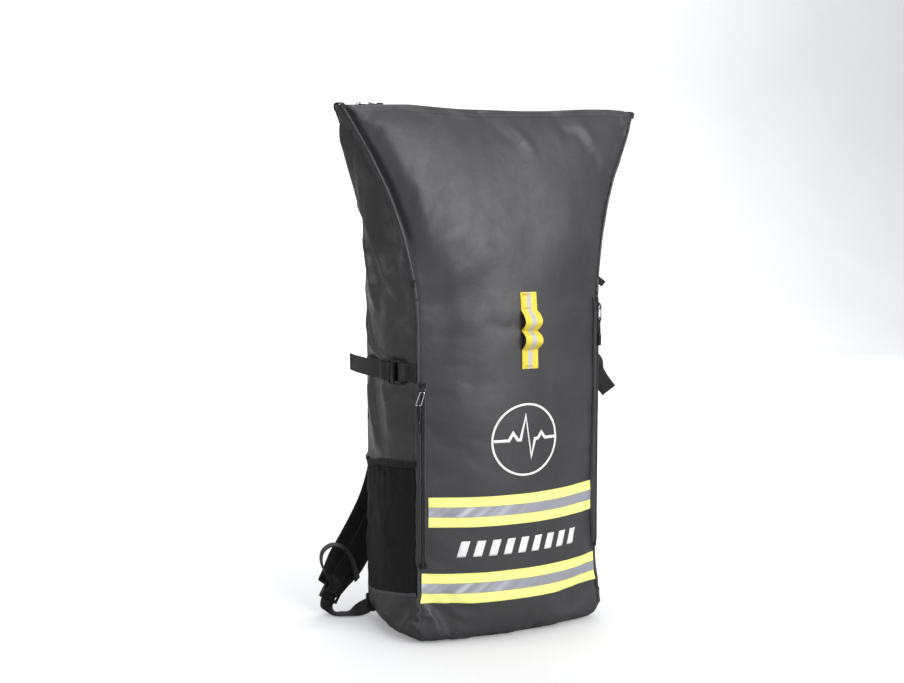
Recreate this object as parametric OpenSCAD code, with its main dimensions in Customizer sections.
// Roll-top rescue backpack: coated-fabric panels, folding collar with a top zip,
// two side zips, stretch pockets, compression straps and two padded shoulder straps.
// Millimetres. Origin: centre of the base on the floor. Front faces -Y, left is -X, +Z up.

/* [Body] */
// Width between the front side seams
body_w = 290; // [270:2:310]
// Depth between the front and back side seams
body_d = 162; // [150:2:176]
// Height of the stiff body, where the folding collar starts
body_h = 490; // [486:1:494]
// Outward bulge of the front panel at mid height
front_bulge = 42; // [30:1:46]
// Panel thickness
skin_t = 3; // [2:0.5:3.5]
// Radius of the bottom edge
base_r = 20; // [12:1:24]

/* [Collar] */
// Height of the top edge with the collar pulled up
collar_top = 742; // [738:1:746]
// Extra half width of the collar at the top edge
collar_flare = 93; // [70:1:100]
// Length of the lid panel between its two folds
lid_len = 218; // [214:1:222]

/* [Webbing] */
// Width of all webbing
web_w = 25; // [20:1:26]
// Thickness of the webbing
web_t = 1.6; // [1.2:0.1:2]
// Height of the compression straps
strap_z = 381; // [376:1:386]

/* [Zips] */
// Lower end of both side zips
zip_z0 = 115; // [110:1:120]
// Upper end of the left side zip
zip_left_top = 364; // [355:1:366]
// Upper end of the right side zip
zip_right_top = 472; // [462:1:474]

/* [Reflective trim] */
// Height of a reflective band
band_h = 42; // [38:1:44]
// Lower edge of the lower band
band_lo_z = 61; // [58:1:64]
// Lower edge of the upper band
band_up_z = 168; // [164:1:170]
// Outer radius of the round badge
badge_r = 51; // [44:1:52]

/* [Shoulder straps] */
// Width of the padded shoulder straps
pad_w = 62; // [54:1:66]
// Thickness of the padding
pad_t = 12; // [8:1:14]

/* [Hidden] */
left = -1;
right = 1;
half_w = body_w/2;
half_d = body_d/2;
seam_gap = 0.3;       // between a side panel and the front or back panel
part_gap = 0.2;       // trimmed off each panel where it meets the base
floor_t = 4;
boot_top = 58;        // height of the base's upturned sides

// ---------- outline of the shell ----------
stiff_z = 490;        // the back runs straight up to here
rim_z = 742;          // the outline's laws end here
back_run_in = 95;     // how far the collar's back face comes forwards at the rim
lean = atan(back_run_in/(rim_z - stiff_z));

// Outward bulge at the middle of each panel: [height, bulge]
FRONT_BULGE = [[0, 18], [30, 27], [80, 35], [200, 41], [330, 42], [440, 40],
    [490, 36], [560, 31], [640, 22], [700, 12], [742, 2]];
BACK_BULGE = [[0, 4], [60, 10], [300, 12], [460, 10], [490, 6], [600, 3], [742, 0]];
SIDE_BULGE = [[0, 8], [60, 14], [200, 17], [380, 18], [490, 14], [600, 8], [700, 3], [742, 0]];
table_bulge = 42;     // the peak of FRONT_BULGE

function ramp(z, from, to) = min(1, max(0, (z - from)/(to - from)));
function half_width(z) = half_w + collar_flare*pow(ramp(z, 440, rim_z), 2);
function front_seam_y(z) = -half_d + 45*pow(ramp(z, 450, rim_z), 1.6);
function back_seam_y(z) = half_d - back_run_in*ramp(z, stiff_z, rim_z);
// how far the rounded bottom edge draws the outline in
function inset(z) = z < base_r ? base_r - sqrt(base_r*base_r - (base_r - z)*(base_r - z)) : 0;
function side_y(across, z) =
    let(front = front_seam_y(z) + inset(z) + skin_t + seam_gap,
        back = back_seam_y(z) - inset(z) - skin_t - seam_gap)
    front + (back - front)*(across + 1)/2;

// A point of each panel's face: across (-1..1), height, depth into the wall
front_face = function(across, z, depth) [
    across*(half_width(z) - inset(z)),
    front_seam_y(z) + inset(z)
        - front_bulge/table_bulge*lookup(z, FRONT_BULGE)*(1 - across*across) + depth,
    z];
back_face = function(across, z, depth) [
    across*(half_width(z) - inset(z)),
    back_seam_y(z) - inset(z) + lookup(z, BACK_BULGE)*(1 - across*across) - depth,
    z];
function side_face(side) = function(across, z, depth) [
    side*(half_width(z) - inset(z) + lookup(z, SIDE_BULGE)*(1 - across*across) - depth),
    side_y(across, z),
    z];

// ---------- lists and solids ----------
function span(from, to, steps) = [for (i = [0:steps]) from + (to - from)*i/steps];
function reverse(list) = [for (i = [len(list) - 1:-1:0]) list[i]];
function unit(vector) = vector/norm(vector);
function triangles(quads) = [for (q = quads) each [[q[0], q[1], q[2]], [q[0], q[2], q[3]]]];

// Closed shell of a panel between two depths; flip turns its faces over
module patch(face, across, heights, depth0, depth1, flip = false) {
    cols = len(across) - 1;
    rows = len(heights) - 1;
    points = [for (d = [depth0, depth1]) for (u = across) for (z = heights) face(u, z, d)];
    id = function(layer, i, j) (layer*(cols + 1) + i)*(rows + 1) + j;
    quads = concat(
        [for (i = [0:cols - 1], j = [0:rows - 1])
            [id(0, i, j), id(0, i, j + 1), id(0, i + 1, j + 1), id(0, i + 1, j)]],
        [for (i = [0:cols - 1], j = [0:rows - 1])
            [id(1, i, j), id(1, i + 1, j), id(1, i + 1, j + 1), id(1, i, j + 1)]],
        [for (i = [0:cols - 1]) [id(0, i, 0), id(0, i + 1, 0), id(1, i + 1, 0), id(1, i, 0)]],
        [for (i = [0:cols - 1])
            [id(0, i, rows), id(1, i, rows), id(1, i + 1, rows), id(0, i + 1, rows)]],
        [for (j = [0:rows - 1]) [id(0, 0, j), id(1, 0, j), id(1, 0, j + 1), id(0, 0, j + 1)]],
        [for (j = [0:rows - 1])
            [id(0, cols, j), id(0, cols, j + 1), id(1, cols, j + 1), id(1, cols, j)]]);
    polyhedron(
        points = points,
        faces = triangles(flip ? [for (q = quads) reverse(q)] : quads),
        convexity = 6);
}

// Flat strap swept along a path; across holds the width direction at each point.
// Width and thickness are one value, or one for each point.
module ribbon(path, across, width, thick) {
    last = len(path) - 1;
    points = [for (i = [0:last])
        let(along = unit(path[min(last, i + 1)] - path[max(0, i - 1)]),
            sideways = unit(across[i] - (across[i]*along)*along),
            half_width = sideways*(is_list(width) ? width[i] : width)/2,
            half_thick = cross(along, sideways)*(is_list(thick) ? thick[i] : thick)/2)
        for (c = [[1, 1], [-1, 1], [-1, -1], [1, -1]])
            path[i] + c.x*half_width + c.y*half_thick];
    end = 4*last;
    quads = concat(
        [[0, 1, 2, 3], [end + 3, end + 2, end + 1, end]],
        [for (i = [0:last - 1], k = [0:3])
            [4*i + k, 4*(i + 1) + k, 4*(i + 1) + (k + 1)%4, 4*i + (k + 1)%4]]);
    polyhedron(points = points, faces = triangles(quads), convexity = 6);
}

// Smooth curve through control points (Catmull-Rom)
curve_steps = 4;      // between two control points
function curve_point(before, from, to, after, t) = 0.5*(2*from + (to - before)*t
    + (2*before - 5*from + 4*to - after)*t*t + (3*from - before - 3*to + after)*t*t*t);
function smooth(path) = let(last = len(path) - 1) concat(
    [for (i = [0:last - 1], k = [0:curve_steps - 1])
        curve_point(path[max(0, i - 1)], path[i], path[i + 1], path[min(last, i + 2)],
            k/curve_steps)],
    [path[last]]);

// ---------- body panels ----------
FULL_WIDTH = span(-1, 1, 14);
FULL_DEPTH = span(-1, 1, 8);
BODY_HEIGHTS = [floor_t + part_gap, 8, 14, 20, 35, 60, 100, 150, 200, 260, 320, 380, 440, body_h];
SIDE_HEIGHTS = [boot_top + part_gap, 100, 150, 200, 260, 320, 380, 440, body_h];
BOOT_HEIGHTS = [3.5, 8, 14, 20, 35, boot_top - part_gap];

module side_patch(side, heights, depth0, depth1, across = FULL_DEPTH)
    patch(side_face(side), across, heights, depth0, depth1, side == left);

module front_panel() color([0.24, 0.24, 0.25])
    patch(front_face, FULL_WIDTH, BODY_HEIGHTS, 0, skin_t);
module back_panel() color([0.1, 0.1, 0.11])
    patch(back_face, FULL_WIDTH, BODY_HEIGHTS, 0, skin_t, true);
module side_panel(side) color([0.2, 0.2, 0.21]) side_patch(side, SIDE_HEIGHTS, 0, skin_t);

// floor with an upturned boot at each side
function plan_outline(face, across) =
    [for (u = across) let(p = face(u, floor_t, 0)) [p.x, p.y]];
module base_panel() color([0.22, 0.22, 0.23]) union() {
    linear_extrude(floor_t) polygon(concat(
        plan_outline(front_face, FULL_WIDTH),
        plan_outline(side_face(right), FULL_DEPTH),
        plan_outline(back_face, reverse(FULL_WIDTH)),
        plan_outline(side_face(left), reverse(FULL_DEPTH))));
    for (side = [left, right]) side_patch(side, BOOT_HEIGHTS, 0, skin_t);
}

// ---------- inside the body ----------
module base_board() color([0.1, 0.1, 0.1]) {
    board = [236, 130, 2.5];
    translate([-board.x/2, -66, 4.3]) cube(board);
}
// sheet with cut corners, in front of the foam
module frame_sheet() color([0.12, 0.12, 0.13])
    translate([0, 71.5, 20]) rotate([90, 0, 0]) linear_extrude(1.6) polygon([
        [-110, 0], [110, 0], [122, 12], [122, 445],
        [105, 460], [-105, 460], [-122, 445], [-122, 12]]);
module back_foam() color([0.3, 0.3, 0.3]) {
    foam = [244, 4.5, 455];
    translate([-foam.x/2, 72, 22]) cube(foam);
}
// flat sheet with a flange towards the back along each side
module inner_sleeve() color([0.28, 0.28, 0.3]) {
    sheet = [252, 4, 390];
    flange = [3, 14, sheet.z];
    translate([-sheet.x/2, 54, 20]) {
        cube(sheet);
        for (x = [0, sheet.x - flange.x]) translate([x, 0, 0]) cube(flange);
    }
}
module front_pocket_liner() color([0.3, 0.3, 0.32])
    patch(front_face, span(-0.86, 0.86, 10), [100, 150, 200, 260, 320, 380, 455],
        skin_t + 1.5, skin_t + 2.7);

// ---------- outside of the back ----------
back_lay = -0.4;      // depth at which pieces lie on the back panel

// air-mesh pads: two columns and a lumbar bar
module back_pads() color([0.13, 0.13, 0.14]) {
    pad_in = 0.14;
    pad_out = 0.80;
    for (ends = [[-pad_out, -pad_in], [pad_in, pad_out]])
        patch(back_face, span(ends[0], ends[1], 4), [115, 180, 250, 320, 390, 425],
            -10.5, back_lay, true);
    patch(back_face, span(-pad_out, pad_out, 8), [40, 60, 100], -11.5, back_lay, true);
}
// reinforcement that holds the straps and the haul loop
module strap_yoke() color([0.12, 0.12, 0.13])
    patch(back_face, span(-0.72, 0.72, 10), [432, 450, 470, 486], -3, back_lay, true);
// corner tabs at the bottom of the back
module lower_strap_tabs() color([0.1, 0.1, 0.1])
    for (m = [0, 1]) mirror([m, 0, 0]) translate([131, half_d + 7.6, 14])
        rotate([0, 0, -8]) rotate([90, 0, 0]) linear_extrude(2.4)
            polygon([[-12, -4], [6, -8], [18, -2], [18, 22], [-12, 22]]);

// ---------- front trim ----------
// reach: how far the band goes towards the side seams, 1 being all the way
module reflective_band(bottom, reach) color([0.85, 0.9, 0.2])
    patch(front_face, span(-reach, reach, 16), [bottom, bottom + band_h/2, bottom + band_h],
        -1.3, -0.35);

// a flat shape in X and Z pressed onto the curved front
module print_on_front() intersection() {
    patch(front_face, span(-0.8, 0.8, 24), span(100, 340, 6), -0.95, -0.3);
    rotate([90, 0, 0]) linear_extrude(200) children();
}
// ring with a zigzag line across it
module front_badge() color([0.95, 0.95, 0.95]) print_on_front() translate([0, 286]) {
    line_w = 4.2;
    overlap = 0.9;    // each stroke runs this far past its ends
    line_end = badge_r - 2;
    line = [[-line_end, 0], [-26, 0], [-20, 10], [-13, 0], [-9, 0], [-1, 33],
        [8, -24], [14, 0], [19, 0], [25, 8], [31, 0], [line_end, 0]];
    difference() {
        circle(badge_r, $fn = 64);
        circle(badge_r - 4, $fn = 64);
    }
    for (i = [0:len(line) - 2]) {
        step = line[i + 1] - line[i];
        translate(line[i]) rotate(atan2(step.y, step.x))
            translate([-overlap, -line_w/2]) square([norm(step) + 2*overlap, line_w]);
    }
}
// row of slanted bars
module hash_print() color([0.95, 0.95, 0.95]) print_on_front() {
    pitch = 22;
    for (i = [-4:4]) translate([i*pitch, 137])
        polygon([[-9, -11], [3, -11], [9, 11], [-3, 11]]);
}

// daisy chain: webbing tacked down around two open loops
function loop_out(z, from, to) =
    z > from && z < to ? 13*pow(sin((z - from)/(to - from)*180), 0.9) : 0;
function chain_y(z) =
    front_face(0, z, 0).y - 0.5 - loop_out(z, 437, 465) - loop_out(z, 411, 436);
module daisy_chain() color([0.95, 0.8, 0.15]) {
    heights = span(385, 489.5, 48);
    translate([-7, 0, 0]) rotate([90, 0, 90]) linear_extrude(26) polygon(concat(
        [for (z = heights) [chain_y(z), z]],
        [for (z = reverse(heights)) [chain_y(z) - web_t, z]]));
}
// small webbing loops at the front corners, at the top of the body
module seam_loops() color([0.06, 0.06, 0.06]) for (side = [left, right])
    translate([side*(half_width(484) + 3.2), -half_d - 2, 505]) rotate([0, 0, side*30])
        difference() {
            translate([-1.2, -10, -8]) cube([2.4, 10, 16]);
            translate([-2, -6.5, -5]) cube([4, 4, 10]);
        }

// ---------- side pockets ----------
pocket_lay = -1.4;    // depth of the pocket's inner face
module stretch_pocket(side) color([0.05, 0.05, 0.05])
    side_patch(side, [66, 90, 130, 180, 239], -3.6, pocket_lay);
module pocket_hem(side) color([0.04, 0.04, 0.04])
    side_patch(side, [239.6, 245, 250.5], -5.2, pocket_lay);

// ---------- zip parts ----------
// Local frame of a zip: x across the tape, y outwards from the bag, z along the zip
tape_y = 1.6;         // underside of the tape
bail_y = 5.3;         // axle of the link in the slider's bail
side_link_len = 18;
top_link_len = 14;

// slider body, straddling the chain, with a bail on its face
module slider_body() difference() {
    union() {
        translate([-4.3, 2.35, -5]) cube([8.6, 1.75, 10]);
        translate([-1.1, 4, -4.2]) cube([2.2, 3.6, 8.4]);
    }
    translate([-1.95, 1, -6]) cube([3.9, 2.1, 12]);
    translate([-2, bail_y, 0]) rotate([0, 90, 0]) cylinder(r = 1.25, h = 4, $fn = 32);
}
// rod along x, centred on x = 0
module cross_rod(radius, length, sides)
    rotate([0, 90, 0]) translate([0, 0, -length/2]) cylinder(r = radius, h = length, $fn = sides);
// bent wire link hanging down, origin on its axle
module wire_link(length) {
    wire_r = 0.9;
    leg_x = 3.1;
    cross_rod(wire_r, 2*leg_x, 24);
    for (x = [-leg_x, leg_x])
        translate([x, 0, -length]) cylinder(r = wire_r, h = length, $fn = 24);
    translate([0, 0, -length]) cross_rod(wire_r, 8, 24);
}
// cord pull with an eye around the link's lower bar
module cord_pull(length) difference() {
    union() {
        cross_rod(2.3, 3.6, 32);
        translate([-1.8, -1.6, -length]) cube([3.6, 3.2, length - 1.2]);
    }
    cross_rod(1.25, 6, 32);
}

// ---------- side zips ----------
zip_ang = 29;         // the side zips face half outwards
zip_x = half_w - 4;   // centre line
zip_y = -half_d - 5.4;
function zip_top(side) = side == left ? zip_left_top : zip_right_top;
module zip_at(side, z = 0)
    translate([side*zip_x, zip_y, 0]) rotate([0, 0, 180 + side*zip_ang])
        translate([0, 0, z]) children();
module slider_at(side) zip_at(side, zip_top(side) - 8) children();

// two tapes, the chain and a stop at each end
module side_zip(side) color([0.03, 0.03, 0.03]) zip_at(side) {
    top = zip_top(side);
    length = top - zip_z0;
    for (x = [-6.5, 1.5]) translate([x, tape_y, zip_z0]) cube([5, 0.6, length]);
    translate([-1.7, 1.2, zip_z0 + 2]) cube([3.4, 1.5, length - 4]);
    for (z = [zip_z0 - 1, top - 1.4]) translate([-4, 1.2, z]) cube([8, 2.2, 2.4]);
}
module side_zip_slider(side) color([0.12, 0.12, 0.12]) slider_at(side) slider_body();
module side_zip_link(side) color([0.75, 0.75, 0.77])
    slider_at(side) translate([0, bail_y, 0]) wire_link(side_link_len);
module side_zip_pull(side) color([0.05, 0.05, 0.05])
    slider_at(side) translate([0, bail_y, -side_link_len]) cord_pull(39);

// ---------- compression straps ----------
strap_lay = 0.6;      // gap between the side panel and the strap
lock_y = -52;
lock_ang = 14;

// half width of the bag at strap height, at depth y
function strap_x(y) = let(across = y/(half_d - skin_t - seam_gap))
    half_width(strap_z) + lookup(strap_z, SIDE_BULGE)*(1 - across*across);
// webbing lying on a side panel between two depths
module side_webbing(side, front, back) {
    depths = span(front, back, 16);
    translate([0, 0, strap_z - web_w/2]) linear_extrude(web_w) polygon(concat(
        [for (y = depths) [side*(strap_x(y) + strap_lay), y]],
        [for (y = reverse(depths)) [side*(strap_x(y) + strap_lay + web_t), y]]));
}
module compression_anchor(side) color([0.1, 0.1, 0.1]) side_webbing(side, -76, -58);
module compression_strap(side) color([0.08, 0.08, 0.08]) side_webbing(side, -19.5, 77);

// Local frame: x along the strap towards the back, y away from the bag, z up
module lock_at(side)
    translate([side*(strap_x(lock_y) + 4.2), lock_y, strap_z]) rotate([0, 0, 90])
        mirror([0, side == right ? 1 : 0, 0]) rotate([0, 0, lock_ang]) children();
// ladder lock: plate with two slots and two raised bars
module compression_lock(side) color([0.07, 0.07, 0.07]) lock_at(side) difference() {
    union() {
        translate([-2, -1.6, -16]) cube([31, 3.2, 32]);
        translate([12.5, 1, -16]) cube([6, 2.6, 32]);
        translate([22, 1, -16]) cube([7, 3.2, 32]);
    }
    translate([2, -5, -13]) cube([9.5, 12, 26]);
    translate([18.7, -5, -13]) cube([3.1, 12, 26]);
}

// straight free tail of webbing between two points
module straight_tail(from, to, across) color([0.09, 0.09, 0.09])
    ribbon([from, to], [across, across], web_w, web_t);
// runs straight back past the edge of the back
module compression_tail_left() straight_tail(
    [-half_w - 22.2, -10, strap_z], [-half_w - 15.2, 118, strap_z - 3], [0, 0, 1]);
// hangs down, outwards and forwards
module compression_tail_right() straight_tail(
    [half_w + 30, -36, strap_z - 21], [half_w + 48, -42.5, strap_z - 47], [-0.72, 0.38, -0.57]);

// ---------- haul loop ----------
module haul_loop() color([0.08, 0.08, 0.08]) {
    loop_w = 28;
    bend_z = 46;      // centre of the loop's round top
    translate([-loop_w/2, half_d + 13, 481]) rotate([-14, 0, 0])
        rotate([90, 0, 90]) linear_extrude(loop_w) difference() {
            hull() {
                translate([0, 1.5]) circle(1.5, $fn = 24);
                translate([0, bend_z]) circle(12, $fn = 32);
            }
            hull() {
                translate([0, 9]) circle(0.6, $fn = 24);
                translate([0, bend_z]) circle(10.2, $fn = 32);
            }
        }
}

// ---------- collar ----------
COLLAR_HEIGHTS = [body_h + 2, 520, 550, 580, 610, 640, 670, 700, 722, collar_top - 4];
lid_y = half_d + 3;   // axis of the lid fold
lid_z = body_h + 3;
sheet_len = (collar_top - lid_z)/cos(lean);   // from the lid fold up the slope to the top
sheet_t = 2.8;
fold_gap = 1.5;       // from a fold to the edge of each panel

module collar_front() color([0.27, 0.27, 0.28])
    patch(front_face, FULL_WIDTH, COLLAR_HEIGHTS, 0, skin_t);
module collar_gusset(side) color([0.22, 0.22, 0.23])
    side_patch(side, COLLAR_HEIGHTS, 0, 2, span(-1, 0.93, 6));

// flat sheet of the collar's leaning back, between two distances above the lid fold
function sheet_x(up) = half_width(lid_z + up*cos(lean)) - 4;
module collar_sheet(from, to) color([0.24, 0.24, 0.25]) {
    rows = span(from, to, 12);
    translate([0, lid_y, lid_z]) rotate([90 + lean, 0, 0])
        translate([0, 0, -sheet_t/2]) linear_extrude(sheet_t) polygon(concat(
            [for (up = rows) [sheet_x(up), up]],
            [for (up = reverse(rows)) [-sheet_x(up), up]]));
}
module lid_panel() collar_sheet(fold_gap, lid_len - fold_gap);
module flap_panel() collar_sheet(lid_len + fold_gap, sheet_len - 5);

// ---------- top zip ----------
top_y = -24;          // centre line of the top zip

// two tapes, the chain and two stops, lying flat along the top edge
module top_zip() color([0.04, 0.04, 0.04]) translate([0, top_y, collar_top]) {
    for (y = [-12, 1.5]) translate([-232, y, 0]) cube([464, 10.5, 0.7]);
    translate([-228, -1.7, -0.4]) cube([456, 3.4, 1.5]);
    for (side = [left, right]) translate([side*230 - 2, -4, -0.4]) cube([4, 8, 2.4]);
}
// hollow tabs over the zip ends, open towards the middle and below
module zip_end_tabs() color([0.06, 0.06, 0.06]) for (side = [left, right])
    translate([side*237 - 5, top_y - 17.5, collar_top - 22]) difference() {
        cube([10, 38.5, 25.5]);
        translate([side == right ? -1 : 2, 2, -1]) cube([9, 34.5, 24.5]);
    }
// zip frame at the top slider: x to the back, y up, z along +X
module top_slider_at()
    translate([-205, top_y, collar_top - tape_y]) rotate([90, 0, 90]) children();
// axle of the top slider, with -z turned along +X
module top_axle_at() top_slider_at() translate([0, bail_y, 0]) rotate([180, 0, 0]) children();
module top_zip_slider() color([0.12, 0.12, 0.12]) top_slider_at() slider_body();
module top_zip_link() color([0.75, 0.75, 0.77]) top_axle_at() wire_link(top_link_len);
module top_zip_pull() color([0.05, 0.05, 0.05])
    top_axle_at() translate([0, 0, -top_link_len]) cord_pull(22);

// ---------- closing strap ----------
// hangs from the top edge down the back of the flap; local z up the slope
module closure_at() translate([0, lid_y, lid_z]) rotate([lean, 0, 0])
    translate([0, 5, sheet_len - 3]) children();
module closure_strap() color([0.08, 0.08, 0.08]) closure_at() {
    translate([-12.5, -web_t/2, -50]) cube([25, web_t, 49]);
    cross_rod(1.5, 25, 32);
    translate([-12.5, -web_t/2, -2]) cube([25, web_t, 2]);
}
// rounded plate with a webbing slot and a hook opening to the side
module closure_hook() color([0.16, 0.16, 0.17]) {
    hook_t = 2.5;
    closure_at() translate([0, hook_t/2, -58]) rotate([90, 0, 0])
        linear_extrude(hook_t) difference() {
            hull() for (x = [-12, 12], y = [3, -24]) translate([x, y]) circle(4, $fn = 24);
            translate([-13, -3]) square([26, 5]);
            translate([-10, -22]) square([20, 12]);
            translate([4, -16]) square([13, 5]);
        }
}

// ---------- shoulder straps ----------
// These build the left strap; the right one is its mirror image.
// Centre line of the pad from the yoke down: [x, y, z]
PAD = smooth([[-50, 99, 478], [-53, 112, 472], [-57, 134, 445], [-61, 150, 390],
    [-64, 159, 320], [-72, 158, 245], [-96, 152, 165], [-139, 146, 94], [-184, 139, 37]]);
PAD_ACROSS = [for (p = PAD) let(turn = ramp(p.z, 230, 120))
    [0.9 - 0.04*turn, 0, 0.08 - 0.59*turn]];
pad_last = len(PAD) - 1;
// narrower at the upper end, thinned at both ends
PAD_WIDTHS = [for (part = span(0, 1, pad_last)) pad_w*(part < 0.08 ? 0.8 + part*2.5 : 1)];
PAD_THICKS = [for (i = [0:pad_last])
    i == 0 ? 3 : i == pad_last ? 5 : i == 1 || i == pad_last - 1 ? pad_t*0.7 : pad_t];
module shoulder_pad() color([0.07, 0.07, 0.07]) ribbon(PAD, PAD_ACROSS, PAD_WIDTHS, PAD_THICKS);

// ladder lock on the face of the pad's end
pad_end_turn = 180 - atan(0.86/0.51);   // turns +X down along the pad's lower end
module shoulder_lock() color([0.07, 0.07, 0.07])
    translate([-176.5, 132.8, 43.5]) rotate([0, pad_end_turn, 0]) difference() {
        translate([0, -2, -16]) cube([28, 4, 32]);
        translate([4.5, -3, -12.5]) cube([7, 6, 25]);
        translate([16, -3, -12.5]) cube([7.5, 6, 25]);
    }

// webbing from the lower corner tab, over the floor, up to the ladder lock: [x, y, z]
LOWER = smooth([[-146, 95, 14], [-156, 99, 8], [-168, 104, 3.2], [-180, 112, 2.2],
    [-188, 124, 2.6], [-191, 130.4, 4.6], [-191.5, 131.6, 8.6]]);
LOWER_ACROSS = [for (k = span(0, 1, len(LOWER) - 1)) unit(
    k < 0.3 ? [0.25 - k*0.3, 0.5 + k, 0.8 - 2.4*k]
    : k < 0.95 ? [0.3 + k*0.6, 1 - k, 0]
    : [0.95, 0, -0.25])];
module lower_webbing() color([0.09, 0.09, 0.09]) ribbon(LOWER, LOWER_ACROSS, web_w - 3, web_t);

// free end of the webbing, standing in an open loop beside the pad: [x, y, z]
TAIL = smooth([[-190, 120.5, 46], [-203, 122, 68], [-206, 119, 88], [-196, 116, 104],
    [-180, 113, 106], [-166, 112, 94], [-157, 111, 74], [-152, 110, 52]]);
TAIL_ACROSS = [for (k = span(0, 1, len(TAIL) - 1)) unit([0.2 + 0.35*k, 1 - 0.4*k, 0.05])];
module shoulder_tail() color([0.09, 0.09, 0.09]) ribbon(TAIL, TAIL_ACROSS, 16, web_t);

// ---------- output ----------
front_panel();
back_panel();
side_panel(left);  // side_panel_left
side_panel(right);  // side_panel_right
base_panel();
base_board();
frame_sheet();
back_foam();
inner_sleeve();
front_pocket_liner();
back_pads();
strap_yoke();
lower_strap_tabs();
reflective_band(band_lo_z, 0.97);  // reflective_band_lower
reflective_band(band_up_z, 0.9);  // reflective_band_upper
front_badge();
hash_print();
daisy_chain();
seam_loops();
stretch_pocket(left);  // stretch_pocket_left
stretch_pocket(right);  // stretch_pocket_right
pocket_hem(left);  // pocket_hem_left
pocket_hem(right);  // pocket_hem_right
side_zip(left);  // side_zip_left
side_zip(right);  // side_zip_right
side_zip_slider(left);  // side_zip_slider_left
side_zip_slider(right);  // side_zip_slider_right
side_zip_link(left);  // side_zip_link_left
side_zip_link(right);  // side_zip_link_right
side_zip_pull(left);  // side_zip_pull_left
side_zip_pull(right);  // side_zip_pull_right
compression_anchor(left);  // compression_anchor_left
compression_anchor(right);  // compression_anchor_right
compression_strap(left);  // compression_strap_left
compression_strap(right);  // compression_strap_right
compression_lock(left);  // compression_lock_left
compression_lock(right);  // compression_lock_right
compression_tail_left();
compression_tail_right();
haul_loop();
collar_front();
collar_gusset(left);  // collar_gusset_left
collar_gusset(right);  // collar_gusset_right
lid_panel();
flap_panel();
top_zip();
zip_end_tabs();
top_zip_slider();
top_zip_link();
top_zip_pull();
closure_strap();
closure_hook();
shoulder_pad();  // shoulder_pad_left
mirror([1, 0, 0]) shoulder_pad();  // shoulder_pad_right
shoulder_lock();  // shoulder_lock_left
mirror([1, 0, 0]) shoulder_lock();  // shoulder_lock_right
lower_webbing();  // lower_webbing_left
mirror([1, 0, 0]) lower_webbing();  // lower_webbing_right
shoulder_tail();  // shoulder_tail_left
mirror([1, 0, 0]) shoulder_tail();  // shoulder_tail_right
